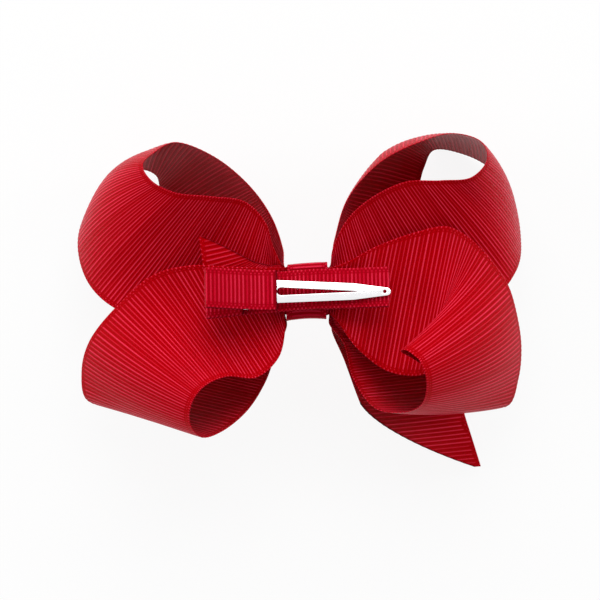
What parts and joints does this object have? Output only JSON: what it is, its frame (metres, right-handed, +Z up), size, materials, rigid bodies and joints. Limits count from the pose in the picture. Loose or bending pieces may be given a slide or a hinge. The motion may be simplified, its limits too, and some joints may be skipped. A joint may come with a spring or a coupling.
{
  "type": "hair bow",
  "caption": "Cheerleading hair bow of looped and gathered grosgrain ribbon, bound at the middle and fixed to a sprung, ribbon-lined hair clip.",
  "frame": {"origin": "under the middle of the bow, on the plane its loops rest on", "axes": "+X along the clip towards its tip, +Y towards the upper loops, +Z up, from the bow's front face to the clip at its back"},
  "size_m": [0.1126, 0.0852, 0.0548],
  "materials": {
    "ribbon": "ribbed grosgrain with a soft sheen",
    "narrow_ribbon": "ribbed grosgrain with a soft sheen",
    "thread": "matt twisted thread",
    "hot_glue": "cloudy, waxy",
    "steel": "bright nickel plate",
    "spring_steel": "drawn wire"
  },
  "bodies": {
    "bow": {"upper_left_loop": "ribbon", "upper_right_loop": "ribbon", "lower_left_loop": "ribbon", "lower_right_loop": "ribbon", "lower_right_tail": "ribbon", "upper_left_tail": "ribbon", "gathering_thread": "thread", "centre_wrap": "narrow_ribbon", "glue_pad_left": "hot_glue", "glue_pad_right": "hot_glue", "clip_jaw": "steel", "clip_pin": "steel", "clip_spring": "spring_steel", "jaw_lining": "narrow_ribbon"},
    "prong": {"clip_prong": "steel", "prong_lever_lining": "narrow_ribbon"}
  },
  "joints": [
    {"name": "prong_hinge", "type": "hinge", "parent": "bow", "child": "prong", "pos_m": [-0.00769, 0.00229, 0.04555], "axis": [0.014, -0.9847, 0.1736], "range_deg": [0, 25], "stiffness_Nm_per_rad": 0.05, "springref_deg": -28.65, "deforming": ["clip_spring"]}
  ]
}
